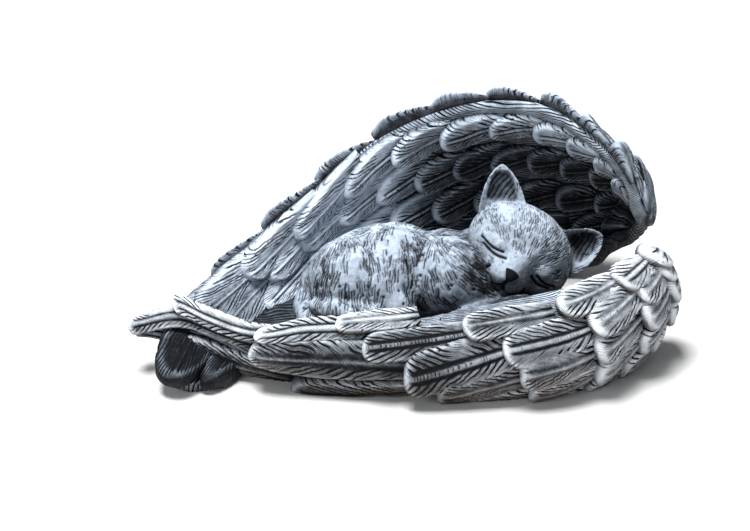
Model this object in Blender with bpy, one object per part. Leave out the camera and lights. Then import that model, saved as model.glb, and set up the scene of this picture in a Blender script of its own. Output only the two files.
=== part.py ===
"""A cast stone pet memorial: a cat asleep between two angel wings that cup round it like a nest.

Everything is one casting. The long axis of the nest is X, with the crossed wing tips at -X and the
round shoulders of the wings at +X. The low front wing is at -Y, and the tall back wing, which leans
over the cat's head as a hood, is at +Y. The flat underside is at Z = 0.
"""

import math

import bpy
import numpy as np

# Driving sizes, in metres
LENGTH = 0.280  # wing tips to shoulders: all free carving below is in 280ths of it
WING_THICKNESS = 0.008  # the wing wall under its feathers, at the foot
RIM_THICKNESS = 0.006  # the same wall at its free upper edge
BED_THICKNESS = 0.017  # the floor that carries the cat
FEATHER_THICKNESS = 0.0048  # a broad feather at its shaft; slimmer feathers are thinner
FEATHER_LIFT = 0.0040  # how far a feather's tip stands off the wing wall
FEATHER_SINK = 0.0016  # how deep a feather's root is buried in the wing wall

UNIT = LENGTH / 280  # one step of the carving's own scale: a millimetre at the real size
BROAD = 20.0  # the width of a broad feather, in carving units
FEATHER_TILT = 0.35  # how much higher a feather's lower edge stands than its shaft, as a share of the lift
STONE_COLOUR = (0.33, 0.35, 0.38, 1.0)
STONE_ROUGHNESS = 0.85

# Wing stations from the feather tips to the shoulder. Each gives the middle of the wing wall at its
# foot, at its belly and at its rim, as x, y, z in carving units.
BACK_STATIONS = (
    ((-94, -27, 0), (-110, -29, 3), (-124, -26, 8)),
    ((-82, 0, -2), (-97, -1, 7), (-111, 2, 17)),
    ((-68, 14, -1), (-77, 24, 15), (-87, 27, 31)),
    ((-36, 36, -1), (-40, 48, 31), (-44, 46, 59)),
    ((2, 50, -1), (2, 62, 40), (0, 57, 87)),
    ((44, 56, -1), (47, 68, 46), (43, 49, 105)),
    ((80, 53, -1), (87, 63, 49), (79, 38, 106)),
    ((109, 42, 11), (125, 46, 48), (105, 24, 90)),
    ((116, 33, 25), (131, 31, 48), (117, 16, 75)),
    ((124, 24, 35), (130, 19, 45), (124, 12, 56)),
)
FRONT_STATIONS = (
    ((-132, 2, 20), (-135, 0, 22), (-135, 1, 25)),
    ((-104, -4, 15), (-105, -5, 21), (-107, -1, 28)),
    ((-79, -18, 8), (-79, -23, 18), (-78, -24, 28)),
    ((-52, -24, -1), (-50, -36, 15), (-50, -32, 29)),
    ((-13, -34, -1), (-12, -51, 17), (-13, -38, 33)),
    ((29, -46, -1), (31, -61, 22), (27, -43, 41)),
    ((66, -50, -1), (71, -65, 26), (67, -47, 49)),
    ((93, -42, 1), (104, -51, 30), (93, -42, 53)),
    ((109, -34, 5), (122, -37, 33), (111, -33, 54)),
    ((113, -20, 10), (126, -20, 34), (119, -22, 49)),
)

# Rows of feathers: the first and last tip as shares (along the wing, up the wing), the number of
# feathers, how the tips crowd towards the shoulder, and the first and last length, width and droop
# in carving units and degrees.
FRONT_OUTSIDE_ROWS = (
    ((-0.010, 0.90), (0.035, 0.10), 2, 1.0, 1.0, (100, 84), (11, 12), (0, 0)),
    ((0.075, 1.15), (0.355, 1.04), 3, 1.0, 1.0, (66, 50), (10, 12), (-4, -4)),
    ((0.210, 0.74), (0.93, 0.93), 6, 1.35, 1.0, (84, 24), (15, 17), (0, 10)),
    ((0.285, 0.22), (0.93, 0.80), 6, 1.45, 0.5, (86, 24), (19, 14), (2, 12)),
    ((0.517, 0.30), (0.93, 0.62), 5, 1.3, 0.7, (52, 24), (20, 15), (4, 12)),
    ((0.562, 0.06), (0.93, 0.40), 5, 1.2, 0.7, (50, 24), (18, 14), (4, 12)),
    ((0.690, 0.00), (0.92, 0.16), 4, 1.1, 0.7, (44, 26), (18, 14), (4, 8)),
)
FRONT_INSIDE_ROWS = (
    ((0.080, 0.60), (0.90, 0.88), 8, 1.3, 1.0, (66, 26), (12, 15), (-4, 4)),
    ((0.250, 0.30), (0.90, 0.48), 6, 1.3, 1.0, (60, 26), (16, 15), (0, 4)),
)
BACK_INSIDE_ROWS = (
    ((-0.015, 0.86), (-0.015, 0.14), 2, 1.0, 1.0, (100, 90), (27, 25), (0, 0)),
    ((0.130, 0.60), (0.300, 0.14), 3, 1.0, 1.0, (66, 60), (24, 20), (4, 8)),
    ((0.120, 0.93), (0.89, 0.92), 10, 1.2, 1.0, (66, 22), (26, 16), (0, 10)),
    ((0.245, 0.69), (0.91, 0.70), 11, 1.15, 1.0, (56, 22), (24, 16), (4, 14)),
    ((0.330, 0.45), (0.93, 0.47), 9, 1.1, 1.0, (50, 24), (23, 16), (8, 14)),
    ((0.470, 0.23), (0.93, 0.26), 6, 1.0, 1.0, (46, 24), (23, 17), (8, 10)),
)
BACK_OUTSIDE_ROWS = (
    ((0.150, 0.82), (0.93, 0.90), 9, 1.15, 1.0, (60, 26), (22, 15), (-6, 0)),
    ((0.090, 1.04), (0.85, 1.00), 9, 1.10, 1.0, (56, 30), (17, 14), (-14, -6)),
    ((0.010, 0.56), (0.93, 0.76), 8, 1.2, 1.0, (80, 28), (24, 17), (-6, 4)),
    ((0.250, 0.40), (0.93, 0.56), 7, 1.2, 1.0, (70, 30), (24, 18), (0, 6)),
    ((0.330, 0.14), (0.90, 0.42), 7, 1.2, 1.0, (64, 30), (24, 17), (0, 6)),
    ((0.520, 0.02), (0.79, 0.16), 4, 1.1, 1.0, (56, 36), (24, 20), (2, 6)),
)

# The cat, in carving units. A limb is a list of ball centres with their radii.
TORSO = (
    ((-40, 14, 20), 14), ((-27, 16, 29), 22), ((-5, 15, 31), 27),
    ((13, 13, 29), 24), ((27, 10, 30), 24), ((40, 6, 32), 19),
)
TAIL = (
    ((-36, 20, 26), 10), ((-45, 9, 24), 10), ((-47, -6, 20), 9),
    ((-40, -19, 19), 8), ((-24, -26, 18), 7), ((-8, -30, 15), 5),
)
HAUNCH = (((-32, 12, 29), 20), ((-25, 4, 33), 23.5), ((-8, -10, 26), 12))
HIND_PAW = (((-47, -9, 31), 3.5), ((-38, -16, 31), 6.5), ((-22, -22, 28), 8))
CHEST = (((21, 5, 33), 21), ((28, -4, 36), 20), ((41, -16, 29), 12))
FORE_PAW = (((8, -24, 18), 7), ((28, -29, 26), 8), ((52, -33, 33), 8))
NECK = (((30, 9, 33), 19), ((50, 3, 43), 19))
HEAD_CENTRE = (59.0, -0.5, 48.0)
SKULL_RADII = (28.0, 21.5, 22.5)
HEAD_TILT = 35.0  # degrees that the head leans over towards the shoulders
HEAD_NOD = 2.0  # degrees that the face points below the line of sight of someone in front
FACE_YAW = 8.0
FRONT_AZIMUTH, FRONT_ELEVATION = -10.0, 30.0  # where that onlooker stands, in degrees

# Soft lumps on the skull: direction (side, forward, up), height in units, spread in radians
HEAD_LUMPS = (
    ((-0.06, 1.00, -0.62), 6.0, 0.28),
    ((-0.08, 1.00, -0.54), 2.6, 0.10),
    ((0.26, 1.00, -0.84), 3.8, 0.17),
    ((-0.42, 1.00, -0.84), 3.8, 0.17),
    ((0.00, 0.80, -1.00), 2.0, 0.15),
    ((0.00, 1.00, -0.15), 1.6, 0.16),
    ((0.66, 1.00, -0.24), -3.0, 0.22),
    ((-0.66, 1.00, -0.24), -3.0, 0.22),
    ((0.68, 1.00, -0.22), 3.0, 0.14),
    ((-0.68, 1.00, -0.22), 3.0, 0.14),
    ((1.00, 0.60, -0.55), 2.5, 0.30),
    ((-1.00, 0.60, -0.55), 2.5, 0.30),
)
EAR_ROOT = (21.0, -3.0, 13.0)
EAR_TIP = (32.0, -4.0, 30.0)
EAR_HALF_WIDTH = 12.5
EAR_HALF_THICKNESS = 2.6
EAR_HOLLOW = 6.5

# How finely the carving is cut
GRAIN = 0.001  # the smallest step of the fused casting
FACETS = 9500  # triangles left on the casting
WING_RINGS, WING_RISE = 60, 14
BED_RINGS = 16
FEATHER_RINGS = (0.0, 0.35, 0.65, 0.82, 0.92, 0.98, 0.998)
HEAD_RINGS, HEAD_SIDES = 36, 48
LIMB_SIDES, LIMB_RINGS = 24, 16
EAR_SHARES = (0.0, 0.2, 0.4, 0.6, 0.8, 0.92, 0.98)
EAR_SIDES = 20


def spline(points, places):
    """A smooth curve through the points, read at places counted in points, straight beyond its ends."""
    points = np.asarray(points, float)
    slopes = np.empty_like(points)
    slopes[1:-1] = (points[2:] - points[:-2]) / 2
    slopes[0] = points[1] - points[0]
    slopes[-1] = points[-1] - points[-2]
    inside = np.clip(places, 0, len(points) - 1)
    first = np.clip(np.floor(inside).astype(int), 0, len(points) - 2)
    shape = np.shape(inside) + (1,) * (points.ndim - 1)
    t = (inside - first).reshape(shape)
    beyond = (places - inside).reshape(shape)
    on_curve = (
        (2 * t**3 - 3 * t**2 + 1) * points[first]
        + (t**3 - 2 * t**2 + t) * slopes[first]
        + (3 * t**2 - 2 * t**3) * points[first + 1]
        + (t**3 - t**2) * slopes[first + 1]
    )
    return on_curve + beyond * np.where(beyond < 0, slopes[0], slopes[-1])


def unit(vectors):
    return vectors / np.linalg.norm(vectors, axis=-1, keepdims=True)


class Wing:
    """The middle surface of a wing wall. u runs from the tips to the shoulder, v from foot to rim."""

    def __init__(self, stations, outward):
        self.stations = np.asarray(stations, float) * UNIT
        self.outward = outward
        self.places = np.linspace(0, len(stations) - 1, 400)
        belly = spline(self.stations, self.places)[:, 1]
        steps = np.linalg.norm(np.diff(belly, axis=0), axis=1)
        self.shares = np.concatenate([[0], np.cumsum(steps)]) / steps.sum()

    def place(self, u):
        """The station count at a share u of the wing's length, which may lie beyond its ends."""
        inside = np.clip(u, 0, 1)
        pace = self.places[-1] * (u - inside)
        return np.interp(inside, self.shares, self.places) + pace

    def middle(self, u, v):
        guides = spline(self.stations, self.place(u))
        v = v[..., None]
        foot, belly, rim = guides[..., 0, :], guides[..., 1, :], guides[..., 2, :]
        return foot * (1 - v) * (1 - 2 * v) + belly * 4 * v * (1 - v) + rim * v * (2 * v - 1)

    def slopes(self, u, v, step=1e-3):
        along = (self.middle(u + step, v) - self.middle(u - step, v)) / (2 * step)
        up = (self.middle(u, v + step) - self.middle(u, v - step)) / (2 * step)
        return along, up

    def point(self, u, v, height):
        """A point at a height off the middle surface, outwards if positive."""
        along, up = self.slopes(u, v)
        normal = unit(np.cross(along, up)) * self.outward
        return self.middle(u, v) + normal * height[..., None]


def half_wall(v):
    """Half the wall's thickness, which thins evenly from the foot to the rim."""
    share = np.clip(v, 0, 1)
    return (WING_THICKNESS + (RIM_THICKNESS - WING_THICKNESS) * share) / 2


def wing_wall(wing):
    """Rings round the wall from the tips to the shoulder: up the outside and down the inside."""
    rise = np.linspace(0, 1, WING_RISE + 1)
    v = np.concatenate([[-0.03], rise, [1.03], rise[::-1]])
    side = np.concatenate([[0], np.ones(WING_RISE + 1), [0], -np.ones(WING_RISE + 1)])
    u = np.linspace(0.0, 1.0, WING_RINGS)
    u, v = np.meshgrid(u, v, indexing="ij")
    return wing.point(u, v, half_wall(v) * side)


def bed(front, back):
    """The floor of the nest: rings that bridge the feet of the two wings."""
    shares = np.linspace(0.17, 0.80, BED_RINGS)
    ground = np.zeros(BED_RINGS)
    low = -0.1 * BED_THICKNESS
    corners = []
    for wing, order in ((front, (low, BED_THICKNESS)), (back, (BED_THICKNESS, low))):
        for height in order:
            corner = wing.middle(shares, ground)
            corner[:, 2] = height
            corners.append(corner)
    return np.stack(corners, axis=1)


def row_tips(row):
    """The tip places, lengths, widths and droops of a row's feathers."""
    (u_first, v_first), (u_last, v_last), count, crowding, bend, lengths, widths, droops = row
    share = 1 - (1 - np.linspace(0, 1, count)) ** crowding
    u = u_first + (u_last - u_first) * share
    v = v_first + (v_last - v_first) * share**bend
    grow = [a + (b - a) * share for a, b in (lengths, widths, droops)]
    return zip(u, v, *grow, strict=True)


def blade(s):
    """Half-width of a feather at a share s of its length from root to tip: slim root, round tip."""
    swell = 0.62 + 0.38 * np.sin(np.clip(s / 0.7, 0, 1) * math.pi / 2)
    tip = np.clip((s - 0.78) / 0.22, 0, 1)
    return swell * np.sqrt(1 - tip**2)


def feather(wing, side, u_tip, v_tip, length, width, droop):
    """Rings along one feather carved on the wing, rising off it towards the tip. side is 1 outside."""
    s = np.array(FEATHER_RINGS)
    across = np.array([-1.0, -0.55, 0.0, 0.55, 1.0, 0.9, -0.9])
    crown = np.array([-0.35, 0.25, 0.5, 0.25, -0.35, 0.0, 0.0])
    buried = np.array([0, 0, 0, 0, 0, 1, 1])
    turn = math.radians(droop)
    heading = np.array([math.cos(turn), math.sin(turn)])  # from tip to root, along u and up v
    aside = np.array([-math.sin(turn), math.cos(turn)])
    back_from_tip = (1 - s)[:, None] * length * UNIT
    offset = across[None, :] * blade(s)[:, None] * width * UNIT / 2
    u_mid, v_mid = np.array(u_tip), np.array(v_tip)
    for _ in range(2):
        along, up = wing.slopes(u_mid, v_mid)
        scale = np.array([np.linalg.norm(along), np.linalg.norm(up)])
        half = heading * length * UNIT / 2 / scale
        u_mid, v_mid = u_tip + half[0], v_tip + half[1]
    u = u_tip + (back_from_tip * heading[0] + offset * aside[0]) / scale[0]
    v = v_tip + (back_from_tip * heading[1] + offset * aside[1]) / scale[1]
    wall = half_wall(v)
    lift = FEATHER_LIFT * s[:, None] * (1.0 - FEATHER_TILT * across[None, :])
    lift = lift - FEATHER_SINK * (1 - s[:, None])
    top = wall + lift + FEATHER_THICKNESS * (width / BROAD) ** 0.6 * (crown[None, :] + 0.5)
    height = np.where(buried[None, :] == 1, wall - FEATHER_SINK, np.maximum(top, wall - 0.9 * FEATHER_SINK))
    return wing.point(u, v, side * height)


def limb(balls):
    """Rings of a soft tube through the balls, closed by round ends."""
    centres = np.array([c for c, _ in balls], float) * UNIT
    radii = np.array([r for _, r in balls], float) * UNIT
    places = np.linspace(0, len(balls) - 1, LIMB_RINGS)
    middle = spline(centres, places)
    thick = spline(radii[:, None], places)[:, 0]
    heading = unit(np.gradient(middle, axis=0))
    cap = np.array([0.95, 0.55])
    squeeze = np.sqrt(1 - cap**2)
    start = middle[0] - heading[0] * thick[0] * cap[:, None]
    end = middle[-1] + heading[-1] * thick[-1] * cap[::-1, None]
    middle = np.concatenate([start, middle, end])
    thick = np.concatenate([thick[0] * squeeze, thick, thick[-1] * squeeze[::-1]])
    heading = np.concatenate([heading[:1], heading[:1], heading, heading[-1:], heading[-1:]])
    side = unit(np.cross(heading, (0.0, 0.0, 1.0)))
    rise = np.cross(side, heading)
    turn = np.linspace(0, 2 * math.pi, LIMB_SIDES, endpoint=False)
    round_side = np.cos(turn)[None, :, None] * side[:, None]
    round_rise = np.sin(turn)[None, :, None] * rise[:, None]
    return middle[:, None] + thick[:, None, None] * (round_side + round_rise)


def head_axes():
    """Side, forward and up of the cat's face, turned from an onlooker's right, back and up."""
    azimuth, elevation = math.radians(FRONT_AZIMUTH), math.radians(FRONT_ELEVATION)
    right = np.array([math.cos(azimuth), math.sin(azimuth), 0.0])
    towards = np.array([
        math.sin(azimuth) * math.cos(elevation),
        -math.cos(azimuth) * math.cos(elevation),
        math.sin(elevation),
    ])
    overhead = np.cross(right, -towards)
    tilt, nod, yaw = (math.radians(a) for a in (HEAD_TILT, HEAD_NOD, FACE_YAW))
    side = right * math.cos(tilt) - overhead * math.sin(tilt)
    up = right * math.sin(tilt) + overhead * math.cos(tilt)
    forward = towards * math.cos(nod) - up * math.sin(nod)
    up = up * math.cos(nod) + towards * math.sin(nod)
    turned = forward * math.cos(yaw) + side * math.sin(yaw)
    return np.stack([side * math.cos(yaw) - forward * math.sin(yaw), turned, up])


def in_head(local):
    """Places given as side, forward and up in the head, taken into the nest."""
    return (np.asarray(local) @ head_axes() + np.array(HEAD_CENTRE)) * UNIT


def head():
    """Rings from the nose to the nape of an egg-shaped skull with soft lumps for the face."""
    polar = np.linspace(0, math.pi, HEAD_RINGS + 2)[1:-1] ** 1.25 / math.pi**0.25
    turn = np.linspace(0, 2 * math.pi, HEAD_SIDES, endpoint=False)
    polar, turn = np.meshgrid(polar, turn, indexing="ij")
    nose = unit(np.array([0.0, 1.0, -0.2]))
    rise = unit(np.cross(np.array([1.0, 0.0, 0.0]), nose))
    sideways = np.cross(nose, rise)
    ring = np.cos(turn)[..., None] * sideways + np.sin(turn)[..., None] * rise
    direction = np.cos(polar)[..., None] * nose + np.sin(polar)[..., None] * ring
    radius = 1 / np.linalg.norm(direction / np.array(SKULL_RADII), axis=-1)
    for towards, height, spread in HEAD_LUMPS:
        angle = np.arccos(np.clip(direction @ unit(np.array(towards)), -1, 1))
        radius = radius + height * np.exp(-0.5 * (angle / spread) ** 2)
    return in_head(direction * radius[..., None])


def ear(mirror):
    """Rings from root to tip of a pointed ear, hollowed towards the front."""
    root, tip = (np.array(p) * (mirror, 1, 1) for p in (EAR_ROOT, EAR_TIP))
    rise = unit(tip - root)
    side = unit(np.cross(rise, (0.0, 1.0, 0.0)))
    front = np.cross(side, rise)
    share = np.array(EAR_SHARES)[:, None]
    turn = np.linspace(0, 2 * math.pi, EAR_SIDES, endpoint=False)[None, :]
    taper = (1 - share**1.7) ** 0.62
    across = np.cos(turn) * EAR_HALF_WIDTH * taper
    hollow = EAR_HOLLOW * taper * np.cos(turn) ** 2
    deep = np.sin(turn) * EAR_HALF_THICKNESS * (1 - 0.5 * share) + hollow
    start = root - rise * 5
    middle = start + (tip - start) * share[..., None]
    return in_head(middle + across[..., None] * side + deep[..., None] * front)


def closed_rings(rings):
    """Points and faces of a tube through the rings, each end closed by a fan, facing outwards."""
    count, sides = rings.shape[:2]
    points = np.concatenate([rings.reshape(-1, 3), rings[:1].mean(1), rings[-1:].mean(1)])
    here = np.arange(sides)
    after = np.roll(here, -1)
    faces = []
    for ring in range(count - 1):
        low, high = ring * sides, (ring + 1) * sides
        faces += [quad for quad in zip(low + here, low + after, high + after, high + here)]
    first, last, top = count * sides, count * sides + 1, (count - 1) * sides
    faces += [(first, b, a) for a, b in zip(here, after)]
    faces += [(last, top + a, top + b) for a, b in zip(here, after)]
    corners = [(points[f[0]], points[f[i]], points[f[i + 1]]) for f in faces for i in range(1, len(f) - 1)]
    if np.linalg.det(np.array(corners) - rings.reshape(-1, 3).mean(0)).sum() < 0:
        faces = [f[::-1] for f in faces]
    return points, faces


def stone():
    material = bpy.data.materials.new("cast_stone")
    material.use_nodes = True
    shader = material.node_tree.nodes["Principled BSDF"]
    shader.inputs["Base Color"].default_value = STONE_COLOUR
    shader.inputs["Roughness"].default_value = STONE_ROUGHNESS
    shader.inputs["Metallic"].default_value = 0.0
    return material


def add_object(name, tubes):
    """One object that holds all the tubes given."""
    points, faces, used = [], [], 0
    for tube_points, tube_faces in tubes:
        points += [tuple(p) for p in tube_points]
        faces += [tuple(int(i) + used for i in face) for face in tube_faces]
        used += len(tube_points)
    mesh = bpy.data.meshes.new(name)
    mesh.from_pydata(points, [], faces)
    obj = bpy.data.objects.new(name, mesh)
    bpy.context.scene.collection.objects.link(obj)
    return obj


def ground_cutter():
    """A slab below Z = 0 that planes the underside of the casting flat."""
    reach = LENGTH
    ring = np.array([(-1, -1), (1, -1), (1, 1), (-1, 1)], float) * reach
    levels = (-0.25 * LENGTH, 0.0)
    rings = np.stack([np.column_stack([ring, np.full(4, level)]) for level in levels])
    cutter = add_object("ground_cutter", [closed_rings(rings)])
    cutter.hide_render = True
    cutter.display_type = "WIRE"
    return cutter


def main():
    for old in list(bpy.data.objects):
        bpy.data.objects.remove(old)
    front = Wing(FRONT_STATIONS, 1)
    back = Wing(BACK_STATIONS, -1)
    rings = [wing_wall(front), wing_wall(back), bed(front, back)]
    layers = (
        (front, 1, FRONT_OUTSIDE_ROWS),
        (front, -1, FRONT_INSIDE_ROWS),
        (back, -1, BACK_INSIDE_ROWS),
        (back, 1, BACK_OUTSIDE_ROWS),
    )
    for wing, side, rows in layers:
        for row in rows:
            rings += [feather(wing, side, *tip) for tip in row_tips(row)]
    rings += [limb(balls) for balls in (TORSO, TAIL, HAUNCH, HIND_PAW, CHEST, FORE_PAW, NECK)]
    rings += [head(), ear(-1), ear(1)]
    statue = add_object("cat_in_angel_wings", [closed_rings(r) for r in rings])
    statue.data.materials.append(stone())
    fuse = statue.modifiers.new("one_casting", "REMESH")
    fuse.mode = "VOXEL"
    fuse.voxel_size = GRAIN
    bpy.context.view_layer.update()
    fused = statue.evaluated_get(bpy.context.evaluated_depsgraph_get()).data
    fused.calc_loop_triangles()
    facet = statue.modifiers.new("facets", "DECIMATE")
    facet.ratio = FACETS / len(fused.loop_triangles)
    plane = statue.modifiers.new("flat_underside", "BOOLEAN")
    plane.operation = "DIFFERENCE"
    plane.solver = "EXACT"
    plane.object = ground_cutter()


main()
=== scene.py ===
# %% [markdown]
# # A cat asleep between two angel wings, cast in grey stone
#
# The real ornament is poured in one piece from a rubber mould, so it has no joints at all: two
# feathered wings, the bed they stand on and the cat between them are a single lump. We still make it
# from several surfaces, because each part of a carving has its own rule. A wing is a bent sheet with
# feathers laid on it in rows. The cat is a handful of soft limbs melted together. Worked out that
# way, every feather knows where it is, and the stone finish can follow it.
#
# The first cell loads the plain solid that this dressed model has to match.

# %% Load the solid
import math

import bpy
import numpy as np
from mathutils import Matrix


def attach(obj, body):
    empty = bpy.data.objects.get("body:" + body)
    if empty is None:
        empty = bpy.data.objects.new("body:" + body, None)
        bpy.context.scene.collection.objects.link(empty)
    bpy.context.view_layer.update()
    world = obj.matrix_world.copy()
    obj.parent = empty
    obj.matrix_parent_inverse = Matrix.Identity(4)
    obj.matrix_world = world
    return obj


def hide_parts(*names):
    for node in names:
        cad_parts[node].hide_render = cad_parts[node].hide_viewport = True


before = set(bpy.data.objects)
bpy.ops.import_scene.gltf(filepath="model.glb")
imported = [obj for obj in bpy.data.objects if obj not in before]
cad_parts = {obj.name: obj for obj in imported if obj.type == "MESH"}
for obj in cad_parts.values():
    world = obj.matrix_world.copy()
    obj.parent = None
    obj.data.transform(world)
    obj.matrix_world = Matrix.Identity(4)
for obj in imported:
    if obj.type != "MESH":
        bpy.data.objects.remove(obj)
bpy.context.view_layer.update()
MM = 0.001  # the carving below is measured in millimetres, the scene in metres

# %% [markdown]
# ## Curves through a few points
#
# A sculptor bends a wing by eye; we bend it with a curve. A *cubic Hermite* curve passes through
# each given point and leaves it in the direction of its neighbours, so a few points make a smooth
# line. The same function carries whole rows of points at once, which makes it bend surfaces too.

# %% A smooth curve through points


def spline(points, places):
    """Cubic Hermite curve. Between points p and q with slopes m and n, at a share t of the way:
    (2t^3-3t^2+1) p + (t^3-2t^2+t) m + (3t^2-2t^3) q + (t^3-t^2) n. Straight beyond its ends."""
    points = np.asarray(points, float)
    slopes = np.empty_like(points)
    slopes[1:-1] = (points[2:] - points[:-2]) / 2
    slopes[0] = points[1] - points[0]
    slopes[-1] = points[-1] - points[-2]
    inside = np.clip(places, 0, len(points) - 1)
    first = np.clip(np.floor(inside).astype(int), 0, len(points) - 2)
    shape = np.shape(inside) + (1,) * (points.ndim - 1)
    t = (inside - first).reshape(shape)
    beyond = (places - inside).reshape(shape)
    on_curve = (
        (2 * t**3 - 3 * t**2 + 1) * points[first]
        + (t**3 - 2 * t**2 + t) * slopes[first]
        + (3 * t**2 - 2 * t**3) * points[first + 1]
        + (t**3 - t**2) * slopes[first + 1]
    )
    return on_curve + beyond * np.where(beyond < 0, slopes[0], slopes[-1])


def unit(vectors):
    """Each vector divided by its length."""
    return vectors / np.linalg.norm(vectors, axis=-1, keepdims=True)


print("curve checks:", spline([[0.0], [1.0], [4.0]], np.array([0.0, 1.0, 2.0])).ravel())

# %% [markdown]
# ## The bent wall of a wing
#
# Each wing is a wall about 8 mm thick. Ten stations along it say where the middle of the wall is at
# its foot, at its belly and at its rim. Along the wing we run the smooth curve, and up the wing a
# *parabola* through the three heights, so any place on the wall has an address: `u`, how far along
# from the feather tips to the shoulder, and `v`, how far up from foot to rim. The tall back wing
# leans over at the shoulder end and makes the hood above the cat's head.

# %% Wing stations and the wall between them
# A station is the middle of the wall at the foot, the belly and the rim, as x, y, z in millimetres.
BACK_STATIONS = (
    ((-94, -27, 0), (-110, -29, 3), (-124, -26, 8)),
    ((-82, 0, -2), (-97, -1, 7), (-111, 2, 17)),
    ((-68, 14, -1), (-77, 24, 15), (-87, 27, 31)),
    ((-36, 36, -1), (-40, 48, 31), (-44, 46, 59)),
    ((2, 50, -1), (2, 62, 40), (0, 57, 87)),
    ((44, 56, -1), (47, 68, 46), (43, 49, 105)),
    ((80, 53, -1), (87, 63, 49), (79, 38, 106)),
    ((109, 42, 11), (125, 46, 48), (105, 24, 90)),
    ((116, 33, 25), (131, 31, 48), (117, 16, 75)),
    ((124, 24, 35), (130, 19, 45), (124, 12, 56)),
)
FRONT_STATIONS = (
    ((-132, 2, 20), (-135, 0, 22), (-135, 1, 25)),
    ((-104, -4, 15), (-105, -5, 21), (-107, -1, 28)),
    ((-79, -18, 8), (-79, -23, 18), (-78, -24, 28)),
    ((-52, -24, -1), (-50, -36, 15), (-50, -32, 29)),
    ((-13, -34, -1), (-12, -51, 17), (-13, -38, 33)),
    ((29, -46, -1), (31, -61, 22), (27, -43, 41)),
    ((66, -50, -1), (71, -65, 26), (67, -47, 49)),
    ((93, -42, 1), (104, -51, 30), (93, -42, 53)),
    ((109, -34, 5), (122, -37, 33), (111, -33, 54)),
    ((113, -20, 10), (126, -20, 34), (119, -22, 49)),
)
WING_THICKNESS, RIM_THICKNESS, BED_THICKNESS = 8.0, 6.0, 17.0


class Wing:
    """The middle surface of a wing's wall. outward is the sign that turns its normal outside."""

    def __init__(self, stations, outward):
        self.stations = np.asarray(stations, float)
        self.outward = outward
        self.places = np.linspace(0, len(stations) - 1, 400)
        belly = spline(self.stations, self.places)[:, 1]
        steps = np.linalg.norm(np.diff(belly, axis=0), axis=1)
        self.shares = np.concatenate([[0], np.cumsum(steps)]) / steps.sum()
        self.length = steps.sum()

    def middle(self, u, v):
        """Foot, belly and rim at u, joined by the parabola that passes them at v 0, 1/2 and 1."""
        inside = np.clip(u, 0, 1)
        place = np.interp(inside, self.shares, self.places) + self.places[-1] * (u - inside)
        guides = spline(self.stations, place)
        v = v[..., None]
        foot, belly, rim = guides[..., 0, :], guides[..., 1, :], guides[..., 2, :]
        return foot * (1 - v) * (1 - 2 * v) + belly * 4 * v * (1 - v) + rim * v * (2 * v - 1)

    def slopes(self, u, v, step=1e-3):
        """How the surface runs along u and up v, by a small step each way."""
        along = (self.middle(u + step, v) - self.middle(u - step, v)) / (2 * step)
        up = (self.middle(u, v + step) - self.middle(u, v - step)) / (2 * step)
        return along, up

    def point(self, u, v, height):
        """The place at that height off the middle surface, outside if positive."""
        along, up = self.slopes(u, v)
        normal = unit(np.cross(along, up)) * self.outward
        return self.middle(u, v) + normal * height[..., None]


def half_wall(v):
    """Half the wall's thickness, thinning evenly from foot to rim."""
    share = np.clip(v, 0, 1)
    return (WING_THICKNESS + (RIM_THICKNESS - WING_THICKNESS) * share) / 2


front_wing = Wing(FRONT_STATIONS, 1)
back_wing = Wing(BACK_STATIONS, -1)
print(f"front wing {front_wing.length:.0f} mm along its belly, back wing {back_wing.length:.0f} mm")

# %% [markdown]
# ## From rings to a mesh
#
# Nearly everything here is a tube: rings of points, one after another, with both ends closed. Even a
# feather is one, if its ring runs over the top of the feather and back under it, inside the wall.
# One helper stitches rings into faces. Others carry numbers along with the points, such as which
# cut a point lies on and how worn it is. Blender calls these *attributes*, and the stone finish
# reads them later.

# %% Stitch rings into closed surfaces


def stitch(rings):
    """Quads between neighbouring rings and a fan at each end, turned so that they face outwards.
    Returns the points with the two fan centres added, and the quads and triangles as arrays."""
    count, sides = rings.shape[:2]
    points = np.concatenate([rings.reshape(-1, 3), rings[:1].mean(1), rings[-1:].mean(1)])
    here = np.arange(sides)
    after = np.roll(here, -1)
    low = np.arange(count - 1)[:, None] * sides
    high = low + sides
    quads = np.stack([low + here, low + after, high + after, high + here], -1).reshape(-1, 4)
    first, top = count * sides, (count - 1) * sides
    start = np.stack([np.full(sides, first), after, here], -1)
    end = np.stack([np.full(sides, first + 1), top + here, top + after], -1)
    fans = np.concatenate([start, end])
    centre = points.mean(0)
    a, b, c, d = (points[quads[:, k]] - centre for k in range(4))
    volume = np.einsum("ij,ij->i", a, np.cross(b, c) + np.cross(c, d)).sum()
    if volume < 0:
        quads, fans = quads[:, ::-1], fans[:, ::-1]
    return points, quads, fans


def carry(values, rings):
    """A number per ring point, with the ends' own averages for the two fan centres."""
    values = np.broadcast_to(values, rings.shape[:2])
    return np.concatenate([values.ravel(), [values[0].mean(), values[-1].mean()]])


def lay_mesh(name, points, faces, numbers):
    """One smooth mesh object at the origin, from points in millimetres and numbers per point."""
    mesh = bpy.data.meshes.new(name)
    mesh.from_pydata((points * MM).tolist(), [], faces)
    mesh.shade_smooth()
    for title, values in numbers.items():
        attribute = mesh.attributes.new(title, "FLOAT", "POINT")
        attribute.data.foreach_set("value", values.astype(np.float32))
    piece = bpy.data.objects.new(name, mesh)
    bpy.context.scene.collection.objects.link(piece)
    return piece


def join(tubes):
    """The points and faces of many tubes as one list each."""
    points, faces, used = [], [], 0
    for rings in tubes:
        tube_points, quads, fans = stitch(rings)
        points.append(tube_points)
        faces += (quads + used).tolist() + (fans + used).tolist()
        used += len(tube_points)
    return np.concatenate(points), faces


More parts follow.
